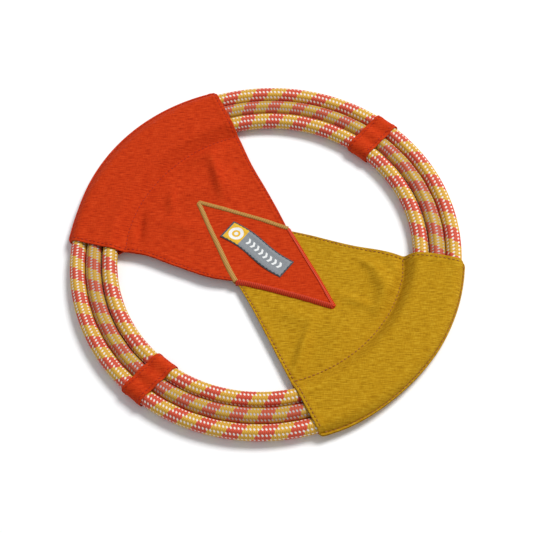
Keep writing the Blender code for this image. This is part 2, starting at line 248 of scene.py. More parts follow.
def rope_material(name, fleck, yellows, reds):
    """Braided sheath. The UV map is (lays along the rope, turns round it), as braid_height() takes them."""
    n = Nodes(name, 0.55, Specular_IOR_Level=0.2)
    along, around = n.uv()
    lays = n.multiply(along, CARRIERS)
    turns = n.multiply(around, CARRIERS)
    over = n.cosine(n.multiply(turns, 2 * math.pi))
    column = n.round(turns)
    in_column = n.multiply(n.subtract(turns, column), COLOUR_SLANT)
    colour_place = n.add(n.add(lays, column), in_column)
    in_row = n.multiply(n.subtract(n.fract(turns), 0.5), FLECK_SLANT)
    fleck_place = n.add(n.subtract(in_row, lays), 0.5)

    # Heights, as in braid_height()
    rib = n.absolute(n.sine(n.multiply(colour_place, 2 * math.pi)))
    colour_height = n.multiply_add(over, YARN_LIFT, n.multiply(rib, YARN_RIB))
    off_centre = n.subtract(n.fract(fleck_place), 0.5)
    crown = n.multiply(n.multiply(off_centre, off_centre), -FLECK_CURVE)
    fleck_height = n.add(n.multiply_add(over, -YARN_LIFT, FLECK_LIFT), crown)
    is_fleck = n.remap(n.subtract(fleck_height, colour_height), -0.01 * MM, 0.02 * MM)

    # Four red carriers, then four yellow ones
    carrier = n.floor(colour_place)
    half = n.fract(n.divide(n.add(carrier, 0.5), CARRIERS))
    is_red = n.less_than(half, 0.5)
    fibre_place = n.vector(n.multiply(colour_place, 9.0), n.multiply(fleck_place, 1.2))
    fibres = n.noise(fibre_place, 1.6, 3.0)
    yellow = n.mix(fibres, *yellows)
    red = n.mix(fibres, *reds)
    colour = n.mix(is_red, yellow, red)
    # Painted shade: the colour is darkened in the grooves between the yarns, where the rib sinks.
    crease = n.remap(rib, 0.0, 0.6, 0.45, 1.0)
    colour = n.mix(1.0, colour, n.grey(crease), "MULTIPLY")
    fleck_fibre_place = n.vector(n.multiply(fleck_place, 9.0), n.multiply(colour_place, 1.2))
    fleck_fibres = n.noise(fleck_fibre_place, 1.6, 2.0)
    pale = n.mix(fleck_fibres, tuple(0.72 * part for part in fleck[:3]) + (1.0,), fleck)
    colour = n.mix(is_fleck, colour, pale)

    strands = n.mix(is_fleck, n.grey(fibres), n.grey(fleck_fibres))
    return n.finish(colour, n.bump(strands, 0.05 * MM, 0.6))


def cloth_material(name, dark, middle, light):
    """Heathered plain weave with slubs along the weft, and painted shade between its threads. The UV map is
    the flat cloth, in metres.
    """
    n = Nodes(name, 0.85, Specular_IOR_Level=0.1)
    x, y = n.uv()
    c, s = math.cos(GRAIN_ANGLE), math.sin(GRAIN_ANGLE)
    weft = n.add(n.multiply(x, c), n.multiply(y, s))
    warp = n.subtract(n.multiply(y, c), n.multiply(x, s))
    pitch = 0.55 * MM
    a = n.sine(n.multiply(weft, math.pi / pitch))
    b = n.sine(n.multiply(warp, math.pi / pitch))
    weft_over = n.greater_than(n.multiply(a, b), 0.0)
    thread = n.mix(weft_over, n.grey(n.absolute(a)), n.grey(n.absolute(b)))

    streaks = n.noise(n.vector(n.multiply(weft, 190), n.multiply(warp, 1800)), 1.0, 2.0)
    warp_streaks = n.noise(n.vector(n.multiply(weft, 1900), n.multiply(warp, 300)), 1.0, 2.0)
    heather = n.multiply_add(warp_streaks, 0.4, streaks)
    tone = n.remap(heather, 0.46, 0.94)
    low = n.mix(n.remap(tone, 0.0, 0.5), dark, middle)
    colour = n.mix(n.remap(tone, 0.5, 1.0), low, light)
    # Painted shade: darker in the gaps between the threads, a little lighter on their crowns.
    gap_shade = n.remap(n.absolute(n.multiply(a, b)), 0.0, 0.6, 0.6, 1.1)
    colour = n.mix(0.6, colour, n.grey(gap_shade), "MULTIPLY")

    slub = n.bump(streaks, 0.12 * MM, 0.7)
    weave = n.bump(thread, 0.10 * MM, 0.8, Normal=slub)
    return n.finish(colour, weave)


def thread_material(name, dark, light, satin=False):
    """Lightly shiny sewing thread. Satin is dense stitches of it, with painted shade between them. It counts
    its threads in the UV map's first part."""
    n = Nodes(name, 0.5, Specular_IOR_Level=0.25)
    fibres = n.noise(n.place(), 2600, 3.0)
    if satin:
        # Painted shade: the satin is dark between its stitches and light on their crowns.
        crown = n.absolute(n.sine(n.multiply(n.uv()[0], math.pi)))
        shade = n.remap(n.multiply_add(crown, 0.7, fibres), 0.45, 1.25)
    else:
        shade = n.remap(n.multiply_add(n.noise(n.place(), 240, 2.0), 0.6, fibres), 0.5, 1.1)
    return n.finish(n.mix(shade, dark, light), n.bump(fibres, 0.08 * MM, 0.5))


def plain_material(name, roughness, scale, relief, dark, light):
    """Grain of one scale, in colour and relief. relief is (distance, strength)."""
    n = Nodes(name, roughness)
    grain = n.noise(n.place(), scale, 4.0)
    return n.finish(n.mix(grain, dark, light), n.bump(grain, *relief))


# ------------------------------ mesh helpers


def smooth_step(value, low, high):
    """From 0 at low to 1 at high, with level ends."""
    share = np.clip((np.asarray(value, float) - low) / (high - low), 0, 1)
    return share * share * (3 - 2 * share)


def bell(value, centre, width):
    """1 at the centre, and less and less to both sides."""
    return np.exp(-(((value - centre) / width) ** 2))


def rough(x, y, cell, seed):
    """Smooth noise at places in plan."""
    places = np.stack([x.ravel(), y.ravel()], -1) / cell
    return np.array([noise.noise((px, py, seed)) for px, py in places]).reshape(x.shape)


def with_rims(half, count):
    """Places from -half to half, close together near both ends for a rounded rim."""
    inside = half - 1.6 * MM
    return join([-half + RIM_STEPS, np.linspace(-inside, inside, count), (half - RIM_STEPS)[::-1]])


def quads(rows, columns, closed_columns, start=0, flipped=False):
    """The faces of a grid of points, row by row."""
    across = columns if closed_columns else columns - 1
    i, j = np.meshgrid(np.arange(rows - 1), np.arange(across), indexing="ij")
    k = (j + 1) % columns
    faces = np.stack([i * columns + j, i * columns + k, (i + 1) * columns + k, (i + 1) * columns + j], -1)
    faces = faces.reshape(-1, 4) + start
    return faces[:, ::-1] if flipped else faces


def mesh_piece(name, points, faces, material, uv=None):
    """A smooth mesh object from arrays. uv holds one pair for each point."""
    points = np.asarray(points, float).reshape(-1, 3)
    faces = faces.tolist() if isinstance(faces, np.ndarray) else faces
    mesh = bpy.data.meshes.new(name)
    mesh.from_pydata(points.tolist(), [], faces)
    if uv is not None:
        layer = mesh.uv_layers.new(name="Flat")
        corners = np.zeros(len(mesh.loops), np.int32)
        mesh.loops.foreach_get("vertex_index", corners)
        layer.data.foreach_set("uv", np.asarray(uv, np.float32).reshape(-1, 2)[corners].ravel())
    mesh.materials.append(material)
    mesh.polygons.foreach_set("use_smooth", np.full(len(mesh.polygons), True))
    mesh.validate()
    mesh.update()
    piece = bpy.data.objects.new(name, mesh)
    bpy.context.scene.collection.objects.link(piece)
    return piece


def ready(piece, nodes):
    """The piece rides on the one body and stands for those CAD nodes, which it hides."""
    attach(piece, "root")
    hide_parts(*nodes)
    return piece


def grid_normals(points):
    """Unit normals of a grid of points, from its two directions."""
    along = np.gradient(points, axis=0)
    across = np.gradient(points, axis=1)
    normals = np.cross(along, across)
    return normals / np.maximum(np.linalg.norm(normals, axis=-1, keepdims=True), 1e-12)


def turned(points, angle):
    """Points turned about the ring's axis."""
    c, s = math.cos(angle), math.sin(angle)
    x, y, z = points[..., 0], points[..., 1], points[..., 2]
    return np.stack([c * x - s * y, s * x + c * y, z], -1)


# ------------------------------ ropes


def braid_height(along, around):
    """How far the braid's surface stands from its mean, at (lays along the rope, turns round it)."""
    lays, turns = CARRIERS * along, CARRIERS * around
    over = np.cos(2 * np.pi * turns)
    column = np.round(turns)
    colour_place = lays + column + COLOUR_SLANT * (turns - column)
    colour_height = YARN_LIFT * over + YARN_RIB * np.abs(np.sin(2 * np.pi * colour_place))
    fleck_place = FLECK_SLANT * (turns % 1.0 - 0.5) - lays + 0.5
    off_centre = fleck_place % 1.0 - 0.5
    fleck_height = FLECK_LIFT - YARN_LIFT * over - FLECK_CURVE * off_centre**2
    return np.maximum(colour_height, fleck_height)


def in_the_open(angle):
    """True where a rope shows between the two panels, with some to spare."""
    from_panel = np.abs((angle + math.pi / 2) % math.pi - math.pi / 2)
    return from_panel > FAN_CORNER_ANGLE - math.radians(6)


def rope_angles(line, first, last):
    """Angles along a rope, close together where it shows and far apart where a panel hides it."""
    angles = [first]
    while angles[-1] < last:
        step = ROPE_STEP if in_the_open(angles[-1] + HIDDEN_ROPE_STEP / line) else HIDDEN_ROPE_STEP
        angles.append(angles[-1] + step / line)
    angles[-1] = last
    return np.array(angles)


def lays_along(name, angles):
    """How many lays lie between the angle 0 and each angle, with the quarters' phases."""
    centres = np.radians(np.arange(-45, 721, 90))
    lays = np.array([LAYS[name][(i - 1) % 4] for i in range(len(centres))])
    fine = np.linspace(0, 4 * math.pi, 2880)
    steps = ROPE_LINES[name] * np.diff(fine) / np.interp(fine[1:], centres, lays)
    counts = join([[0], np.cumsum(steps)])
    quarters = angles / (math.pi / 2)
    nearest = np.round(quarters).astype(int)
    phases = np.array(LAY_PHASES[name])
    before, after = phases[(nearest - 1) % 4], phases[nearest % 4]
    phase = before + (after - before) * smooth_step(quarters - nearest, -PHASE_TURN, PHASE_TURN)
    return np.interp(angles, fine, counts) + phase


def torus_points(line, radius, angles, around):
    """Points of a tube round the ring at that line. around is in turns, from the top outwards."""
    a, t = angles[:, None], 2 * math.pi * around[None, :]
    reach = line + radius * np.sin(t)
    parts = reach * np.cos(a), reach * np.sin(a), MIDDLE_HEIGHT + radius * np.cos(t) + 0 * a
    return np.stack(parts, -1)


def braided_rope(name, material):
    """One rope ring's sheath, as a closed shell with the braid's relief on its outer face."""
    line = ROPE_LINES[name]
    splice = SPLICE_PLACES[name]
    angles = rope_angles(line, splice + SPLICE_HALF_ANGLE, splice + 2 * math.pi - SPLICE_HALF_ANGLE)
    around = np.arange(ROPE_ROUND) / ROPE_ROUND
    along = lays_along(name, angles)
    twist = TWISTS[name]
    lay_grid, round_grid = np.meshgrid(along, around + twist, indexing="ij")
    radius = BRAID_MEAN + braid_height(lay_grid, round_grid)
    outer = torus_points(line, radius, angles, around)
    inner_angles = np.linspace(angles[0], angles[-1], HIDDEN_RINGS)
    inner = torus_points(line, ROPE_RADIUS - SHEATH_WALL, inner_angles, around)

    points = join([outer.reshape(-1, 3), inner.reshape(-1, 3)])
    start = outer.shape[0] * ROPE_ROUND
    faces = [quads(len(angles), ROPE_ROUND, True), quads(HIDDEN_RINGS, ROPE_ROUND, True, start, flipped=True)]
    j = np.arange(ROPE_ROUND)
    k = (j + 1) % ROPE_ROUND
    last_outer, last_inner = start - ROPE_ROUND, start + (HIDDEN_RINGS - 1) * ROPE_ROUND
    faces.append(np.stack([start + j, start + k, k, j], -1))
    faces.append(np.stack([last_inner + k, last_inner + j, last_outer + j, last_outer + k], -1))
    inner_lays = lays_along(name, inner_angles)
    maps = [np.stack(np.meshgrid(lays, around + twist, indexing="ij"), -1) for lays in (along, inner_lays)]
    uv = join([each.reshape(-1, 2) for each in maps])
    piece = mesh_piece(f"{name}_rope_braid", points, join(faces), material, uv)
    close_uv_seam(piece)
    return ready(piece, [f"{name}_rope_sheath"])


def close_uv_seam(piece):
    """On the faces that close a tube's round, the map goes on to a whole turn instead of back to 0."""
    mesh = piece.data
    layer = mesh.uv_layers["Flat"]
    uv = np.zeros(len(mesh.loops) * 2, np.float32)
    layer.data.foreach_get("uv", uv)
    turns = uv.reshape(-1, 4, 2)[:, :, 1]
    crossing = turns.max(axis=1) - turns.min(axis=1) > 0.5
    turns[crossing] = np.where(turns[crossing] < 0.5, turns[crossing] + 1, turns[crossing])
    layer.data.foreach_set("uv", uv)


# ------------------------------ panels


def rumple(x, y):
    """Soft folds between the ropes, as a rise at a place in the frame. All the layers of cloth share them."""
    rise = np.zeros_like(x)
    for centre_x, centre_y, direction, length, width, height in FOLDS:
        c, s = math.cos(math.radians(direction)), math.sin(math.radians(direction))
        along = ((x - centre_x * MM) * c + (y - centre_y * MM) * s) / (length * MM)
        across = ((y - centre_y * MM) * c - (x - centre_x * MM) * s) / (width * MM)
        rise += FOLD_RISE * height * MM * np.exp(-(along**2) - across**2)
    open_web = 1 - smooth_step(np.hypot(x, y), CHANNEL_RADIUS - 6 * MM, CHANNEL_RADIUS + 1 * MM)
    return (rise + 0.5 * MM * rough(x, y, 19 * MM, 0.3)) * open_web


# Each fold: its centre, direction in degrees, length, width and height before FOLD_RISE, in millimetres
FOLD_RISE = 1.55
FOLDS = [
    (75, 23.5, 111, 14, 4.5, 2.0),
    (64.5, 30.6, 148, 9, 4.5, 1.9),
    (72, 40.5, 145, 5, 2.6, 1.0),
    (53.5, 33, 1, 6, 2.8, 0.9),
    (65, 9.6, 16, 11, 3, 0.9),
    (58.5, -34, 112, 16, 3, 1.9),
    (70, -16, 95, 13, 5, 0.9),
    (44, -20, 20, 13, 5, 0.7),
    (-58, 22.9, 144, 14, 3.2, 1.5),
    (-53, 23.5, 148, 14, 7, 1.4),
    (-73.5, 29, 57, 12, 4.5, 1.3),
    (-68, -9, 125, 7, 3, 1.1),
    (-72, -34.5, 128, 11, 3.2, -1.6),
    (-62, 6, 60, 14, 5, 0.8),
    (-52, -18, 20, 14, 5, 0.8),
]


# Where the sewn cloths lie off their symmetrical plan: their waist is wider towards -Y, and near each centre
# they are shifted, less and less towards a reach. (centre, shift, reach), in millimetres.
WIDE_WAIST = 25.8 * MM
DRIFTS = [
    ((37, 40), (1.3, -2.8), 27),
    ((68, 51), (0.6, -2.1), 13),
    ((-46, 44), (-0.5, -1.1), 20),
    ((0, 25), (1.5, -0.6), 16),
    ((0, -26), (-0.8, -0.2), 16),
    ((-57, -49), (-1.2, 2.9), 17),
    ((-14, -32), (0.7, -2.0), 15),
    ((58, 0), (-0.3, -1.7), 20),
    ((-58, 0), (2.1, 1.1), 20),
]
TRIMS = {  # how the fin is drawn in: angle in degrees, spread in degrees and depth
    "mustard": ((17, 18, 1.9), (-8, 17, 2.4), (38, 12, 0.9)),
    "red": ((14, 14, 0.7), (26, 10, 1.4)),
}


def as_sewn(plan, facing, fan_side):
    """A +X panel's or tip's plan, turned to its facing and moved as the sewn cloths are. fan_side is -1 for a
    tip's V, whose panel is on the other side."""
    c, s = math.cos(facing), math.sin(facing)
    x, y = c * plan[..., 0] - s * plan[..., 1], s * plan[..., 0] + c * plan[..., 1]
    share = np.clip(x * c * fan_side / CORNER_X, 0, 1)
    was, now = (waist + (CORNER_Y - waist) * share for waist in (WAIST_HALF_WIDTH, WIDE_WAIST))
    y = np.where(y < 0, y * (now / was), y)
    moved = np.stack([x, y], -1)
    for centre, shift, reach in DRIFTS:
        away = np.hypot(x - centre[0] * MM, y - centre[1] * MM)
        moved = moved + np.array(shift) * MM * bell(away, 0, reach * MM)[..., None]
    return moved


def drawn_in(plan, colour):
    """A +X panel's plan, with its fin drawn in a little where the outer seam is tight."""
    radius = np.hypot(plan[..., 0], plan[..., 1])
    angle = np.degrees(np.arctan2(plan[..., 1], plan[..., 0]))
    trim = sum(depth * MM * bell(angle, centre, spread) for centre, spread, depth in TRIMS[colour])
    trim = trim * smooth_step(radius, ROPE_LINES["outer"] + 4 * MM, FAN_MIDDLE_RADIUS)
    return plan * (1 - trim / np.maximum(radius, MM))[..., None]


def edge_angle(radius):
    """The angle at which a circle about the ring's centre meets a panel's straight edge."""
    before = WAIST_HALF_WIDTH * ALONG_Y
    distance = np.sqrt(np.asarray(radius) ** 2 - WAIST_HALF_WIDTH**2 + before**2) - before
    return np.arccos(distance * ALONG_X / radius)


def sleeve_profile(web):
    """A cloth's middle from the channel seam to where it leaves the outer rope: radii, heights, distances."""
    inner, outer = ROPE_LINES["inner"], ROPE_LINES["outer"]
    rise = np.radians(np.linspace(TUCK_ANGLE, 90, 10))
    fall = np.radians(np.linspace(90, LEAVING_ANGLE, 14))
    between = np.linspace(inner, outer, 40)[1:-1]
    sag = SLEEVE_SAG * np.sin(2 * np.pi * (between - inner) / (outer - inner)) ** 2
    at_seam = np.array([[0, 1.0], [-0.3, -0.2]]) * MM
    over_inner, over_outer = inner + SLEEVE_MIDDLE * np.cos(rise), outer + SLEEVE_MIDDLE * np.cos(fall)
    radii = join([CHANNEL_RADIUS + at_seam[0], over_inner, between, over_outer])
    up, down = SLEEVE_MIDDLE * np.sin(rise), SLEEVE_MIDDLE * np.sin(fall)
    heights = join([web + at_seam[1], up, SLEEVE_MIDDLE - sag, down])
    run = join([[0], np.cumsum(np.hypot(np.diff(radii), np.diff(heights)))])
    even = np.linspace(0, run[-1], round(run[-1] / CLOTH_STEP))
    return np.interp(even, run, radii), np.interp(even, run, heights), even


def row_shares(half_lengths):
    """Each row's places across a panel, from -1 to 1, close together at both edges for the rounded rim."""
    half = np.maximum(half_lengths, 1e-6)[:, None]
    scale = np.minimum(1, half / (3 * RIM_STEPS[-1]))
    left = -1 + RIM_STEPS[None, :] * scale / half
    middle = np.linspace(0, 1, PANEL_COLUMNS)[None, 1:-1] * (-2 * left[:, -1:]) + left[:, -1:]
    return join([left, middle, -left[:, ::-1]], 1)


def panel_rows(web, fin_inset):
    """A +X panel cloth's middle surface, by rows from its tip: plan, heights and the flat plan's spread."""
    # The tip, as straight rows
    nose = -TIP_APEX + TIP_BLUNTNESS
    xs = join([nose + RIM_STEPS[:-1], np.arange(nose + CLOTH_STEP, -0.3 * CLOTH_STEP, CLOTH_STEP)])
    half = TIP_SLOPE * (xs + TIP_APEX)
    shares = row_shares(half)
    plans = [np.stack(np.broadcast_arrays(xs[:, None], shares * half[:, None]), -1)]
    heights = [np.full(shares.shape, web)]
    spreads = [np.ones(len(xs))]

    # The web, from a straight line at the waist to the channel seam's arc
    seam_angle = float(edge_angle(CHANNEL_RADIUS))
    waist_half = TIP_SLOPE * TIP_APEX
    t = np.linspace(0, 1, round(CHANNEL_RADIUS / CLOTH_STEP), endpoint=False)
    shares = row_shares((1 - t) * waist_half + t * CHANNEL_RADIUS * seam_angle)
    waist = np.stack([np.zeros_like(shares), waist_half * shares], -1)
    seam = CHANNEL_RADIUS * np.stack([np.cos(seam_angle * shares), np.sin(seam_angle * shares)], -1)
    plan = waist + t[:, None, None] * (seam - waist)
    plans.append(plan)
    near_seam = smooth_step(np.linalg.norm(plan, axis=-1), CHANNEL_RADIUS - 3 * MM, CHANNEL_RADIUS)
    heights.append(web - 0.3 * MM * near_seam)
    spreads.append(np.ones(len(t)))

    # The sleeve, as arcs over the ropes
    radii, levels, run = sleeve_profile(web)
    angles = edge_angle(radii)
    shares = row_shares(radii * angles)
    a = angles[:, None] * shares
    plans.append(radii[:, None, None] * np.stack([np.cos(a), np.sin(a)], -1))
    heights.append(np.repeat(levels[:, None], shares.shape[1], 1))
    spreads.append((CHANNEL_RADIUS + run) / radii)

    # The slope from the outer rope down to the fin, and the fin
    width = FAN_MIDDLE_RADIUS - radii[-1]
    t = join([np.linspace(0, 1 - RIM_STEPS[-1] / width, 14)[1:], 1 - RIM_STEPS[-2::-1] / width])
    shares = np.repeat(shares[-1:], len(t), 0)
    arc = ARC_HALF_ANGLE * shares
    edge = np.stack([ARC_CENTRE + ARC_RADIUS * np.cos(arc), ARC_RADIUS * np.sin(arc)], -1)
    plans.append(plans[-1][-1:] * (1 - t[:, None, None]) + edge * t[:, None, None])
    to_edge, first = from_arc(plans[-1]), from_arc(plans[-2][-1:])
    fin = (CLOTH + 0.3 * MM) / 2
    slope_share = np.clip((to_edge - fin_inset) / (first - fin_inset), 0, 1)
    heights.append(fin + (levels[-1] - fin) * slope_share)
    spreads.append((CHANNEL_RADIUS + run[-1] + t * width * 1.25) / (radii[-1] + t * width))
    return join(plans), join(heights), join(spreads)


def from_arc(plan):
    """How far each place of a +X panel is from its outer edge."""
    return ARC_RADIUS - np.hypot(plan[..., 0] - ARC_CENTRE, plan[..., 1])


def panel_distances(plan):
    """How far each place of a +X panel is from its edge on the +Y side, on the -Y side and outside."""
    x, y = plan[..., 0], plan[..., 1]
    sides = []
    for side in (1, -1):
        fan = (WAIST_HALF_WIDTH - side * y) * ALONG_X + x * ALONG_Y
        tip = (TIP_SLOPE * (x + TIP_APEX) - side * y) / math.hypot(1, TIP_SLOPE)
        sides.append(np.where(x > 0, fan, tip))
    return *sides, from_arc(plan)


def round_corners(plan, distances, roundings):
    """Moves the plan's two outer corners in to round ones, with the cloth near them."""
    inward = np.array([ARC_CENTRE, 0]) - plan
    inward /= np.linalg.norm(inward, axis=-1, keepdims=True)
    moved = plan.copy()
    for side, to_edge, rounding in zip((1, -1), distances, roundings):
        a, b = np.maximum(rounding - to_edge, 0), np.maximum(rounding - distances[2], 0)
        inside = (a > 0) & (b > 0)
        pull = np.where(inside, 1 - np.maximum(a, b) / np.maximum(np.hypot(a, b), 1e-9), 0)
        moved += (a * pull)[..., None] * np.array([ALONG_Y, -side * ALONG_X]) + (b * pull)[..., None] * inward
    return moved


def shell(name, middle, up, down, uv, material, closed=False):
    """A closed shell round a grid of middle points, whose last row may go on to the first. up and down are
    its half thicknesses, 0 at its rim. Returns the piece, its upper and lower faces, and the normals."""
    loop = join([middle[-1:], middle, middle[:1]]) if closed else middle
    normals = grid_normals(loop)[1:-1] if closed else grid_normals(loop)
    faces = [middle + normals * up[..., None], middle - normals * down[..., None]]
    for face in faces:
        face[..., 2] = np.maximum(face[..., 2], 0)  # pressed flat where it lies on the floor
    count = up.size
    index = np.arange(count).reshape(up.shape)
    inside = (slice(None) if closed else slice(1, -1), slice(1, -1))
    below = index.copy()
    below[inside] = count + np.arange(below[inside].size).reshape(below[inside].shape)
    if closed:
        index, below = (join([each, each[:1]]) for each in (index, below))
    grid = quads(*index.shape, False)
    points, maps = (
        join([above.reshape(-1, above.shape[-1]), under[inside].reshape(-1, under.shape[-1])])
        for above, under in (faces, (uv, uv))
    )
    corners = join([index.ravel()[grid][:, ::-1], below.ravel()[grid]])
    return mesh_piece(name, points, corners, material, maps), *faces, normals


def rim_factor(distance, radius, closed=False):
    """How much of its half thickness a cloth has at a distance from its rounded rim: 0 at the grid's ends."""
    factor = np.sqrt(np.clip(1 - (1 - np.clip(distance / radius, 0, 1)) ** 2, 0, 1))
    factor[:, 0], factor[:, -1] = 0, 0
    if not closed:
        factor[0], factor[-1] = 0, 0
    return factor


def surface_tree(points):
    """A grid of points, ready for casting rays at."""
    faces = quads(points.shape[0], points.shape[1], False)
    return BVHTree.FromPolygons(points.reshape(-1, 3).tolist(), faces.tolist())


def seam_sink(plan, y, colour):
    """The valley along a panel's channel seam. Both cloths dip into it, more towards +Y."""
    past = np.hypot(plan[..., 0], plan[..., 1]) - CHANNEL_RADIUS
    reach = np.where(past < 0, 5.0 * MM, 3.0 * MM)
    return SEAM_SINKS[colour] * np.exp(-((past / reach) ** 2)) * smooth_step(y, -30 * MM, 25 * MM)


def panel_cloth(colour, side, material):
    """One of a panel's two cloths, from its tip over the ropes to the fin. Returns its outward face."""
    top = side == "top"
    direction = 1 if top else -1
    facing = PANEL_FACINGS[colour]
    fin_inset = FIN_SEAM_INSETS[colour]
    plan, height, spread = panel_rows(direction * WEB_LEVELS[f"{colour}_{side}"] * LAYER, fin_inset)
    left, right, outer = panel_distances(plan)
    roundings = CORNER_ROUNDINGS[colour]
    c, s = math.cos(facing), math.sin(facing)
    flat_plan = plan * spread[:, None, None] @ np.array([[c, s], [-s, c]])
    plan = drawn_in(round_corners(plan, (left, right, outer), roundings), colour)
    x, y = as_sewn(plan, facing, 1).transpose(2, 0, 1)

    # Thicker where the cloth is turned under, with the hem's stitches sunk in
    edge = np.minimum(left, right)
    on_fan = smooth_step(plan[..., 0], 0, 6 * MM)
    at_ropes = smooth_step(np.hypot(x, y), CHANNEL_RADIUS, CHANNEL_RADIUS + 6 * MM)
    hem = (0.22 * MM + 0.16 * MM * at_ropes) * (1 - smooth_step(edge, HEM_WIDTH - 0.9 * MM, HEM_WIDTH))
    hem += 0.16 * MM * rough(x, y, 5 * MM, 7.7) * bell(edge, HEM_INSET, 2.2 * MM)
    hem -= HEM_GROOVE * bell(edge, HEM_INSET, 0.55 * MM)
    hem *= on_fan
    roll = ROLL_RISE * bell(outer, ROLL_INSET, 0.75 * MM)
    fin_groove = FIN_GROOVES[colour] * bell(outer, fin_inset, 0.55 * MM)

    lift = hem / 2 + np.where(np.hypot(x, y) > CHANNEL_RADIUS, roll - fin_groove, 0)
    z = MIDDLE_HEIGHT + direction * (height + lift) + rumple(x, y) - seam_sink(plan, y, colour)
    z = np.maximum(z, CLOTH / 2 + 0.02 * MM)
    middle = np.stack([x, y, z], -1)
    factor = rim_factor(np.minimum(edge, outer), CLOTH / 2 + 0.2 * MM)
    outward, inward = (CLOTH / 2 + hem / 2) * factor, CLOTH / 2 * factor
    up, down = (outward, inward) if top else (inward, outward)
    name = f"{colour}_panel_{side}"
    piece, above, below, _ = shell(f"{name}_cloth", middle, up, down, flat_plan, material)
    ready(piece, [name])
    return surface_tree(above if top else below)


# ------------------------------ stitches


def drop(tree, x, y, side):
    """The point and normal of a cloth's face at a place in plan, met from above (side 1) or below (-1)."""
    start = Vector((x, y, MIDDLE_HEIGHT + side * 30 * MM))
    point, normal, _, _ = tree.ray_cast(start, Vector((0, 0, -side)))
    if point is None:
        return None, None
    return point, normal if normal.z * side > 0 else -normal


def stitch_row(tree, path, side):
    """Evenly spaced stitches along a path in plan: (middle, direction, normal) for each."""
    path = np.asarray(path)
    run = join([[0], np.cumsum(np.linalg.norm(np.diff(path, axis=0), axis=1))])
    count = max(int(run[-1] / STITCH_PITCH), 1)
    places = (np.arange(count) + 0.5) * run[-1] / count
    found = []
    for place in places:
        around = place + np.array([-0.5, 0.5]) * MM
        start, end = np.stack([np.interp(around, run, path[:, 0]), np.interp(around, run, path[:, 1])], -1)
        first, _ = drop(tree, *start, side)
        last, _ = drop(tree, *end, side)
        point, normal = drop(tree, *(start + end) / 2, side)
        if first is not None and last is not None and point is not None:
            found.append((point, (last - first).normalized(), normal))
    return found


def stitches(name, rows, material, length=STITCH_LENGTH, radius=THREAD_RADIUS):
    """Single stitches as one mesh: short threads that rise out of the cloth and dip back into it."""
    rings, sides = 7, 6
    s = np.linspace(-1, 1, rings)
    rise = radius * (0.75 - 1.9 * s**4)
    thin = radius * np.array([0.55, 0.9, 1, 1, 1, 0.9, 0.55])
    turn = 2 * np.pi * np.arange(sides) / sides
    points, faces = [], []
    first_cap, last_cap = np.array([[[0, 3, 2, 1], [0, 5, 4, 3]], [[0, 1, 2, 3], [0, 3, 4, 5]]])
    one = join([quads(rings, sides, True), first_cap, last_cap + (rings - 1) * sides])
    for middle, direction, normal in rows:
        middle, along, up = np.array(middle), np.array(direction), np.array(normal)
        across = np.cross(up, along)
        up = np.cross(along, across)
        centres = middle + np.outer(s * length / 2, along) + np.outer(rise, up)
        ring = np.outer(np.cos(turn), across) + np.outer(np.sin(turn), up)
        faces.append(one + len(points) * rings * sides)
        points.append((centres[:, None, :] + thin[:, None, None] * ring[None]).reshape(-1, 3))
    points = join(points)
    points[:, 2] = np.maximum(points[:, 2], 0)  # flattened where they meet the floor
    return mesh_piece(name, points, join(faces), material)


def panel_path(path, colour):
    """A path drawn on the +X panel's plan, as it lies on that colour's panel."""
    return as_sewn(drawn_in(np.asarray(path), colour), PANEL_FACINGS[colour], 1)


def channel_path(colour):
    half = float(edge_angle(CHANNEL_RADIUS)) - HEM_INSET / CHANNEL_RADIUS
    a = np.linspace(-half, half, 80)
    return panel_path(CHANNEL_RADIUS * np.stack([np.cos(a), np.sin(a)], -1), colour)


def hem_path(colour, side):
    """The row along a straight edge: side 1 is on the panel's +Y side before it is turned."""
    start = np.array([HEM_INSET * ALONG_Y, WAIST_HALF_WIDTH - HEM_INSET * ALONG_X])
    last = ROPE_LINES["outer"] + SLEEVE_MIDDLE * math.cos(math.radians(35)) - CORNER_ROUNDINGS[colour][0] / 3
    dot = start @ np.array([ALONG_X, ALONG_Y])
    reach = -dot + math.sqrt(dot**2 + last**2 - start @ start)
    path = start + np.linspace(3 * MM, reach, 60)[:, None] * np.array([ALONG_X, ALONG_Y])
    return panel_path(path * [1, side], colour)


def fin_path(colour):
    radius = ARC_RADIUS - FIN_SEAM_INSETS[colour]
    a = np.linspace(-ARC_HALF_ANGLE, ARC_HALF_ANGLE, 90) * (1 - 2.4 * MM / (radius * ARC_HALF_ANGLE))
    return panel_path(np.stack([ARC_CENTRE + radius * np.cos(a), radius * np.sin(a)], -1), colour)


def panel_seams(colour, above, below, material):
    """A panel's channel, hem and fin stitches, on both faces."""

    def sewn(name, path, nodes):
        rows = stitch_row(above, path, 1) + stitch_row(below, path, -1)
        made = stitches(f"{colour}_{name}_stitches", rows, material, radius=PANEL_THREAD_RADII[colour])
        ready(made, nodes)

    sewn("channel", channel_path(colour), [f"{colour}_channel_seam"])
    for side, word in ((1, "left"), (-1, "right")):
        sewn(f"{word}_hem", hem_path(colour, side), [f"{colour}_{word}_hem_seam"])
    sewn("fin", fin_path(colour), [])


# ------------------------------ satin Vs


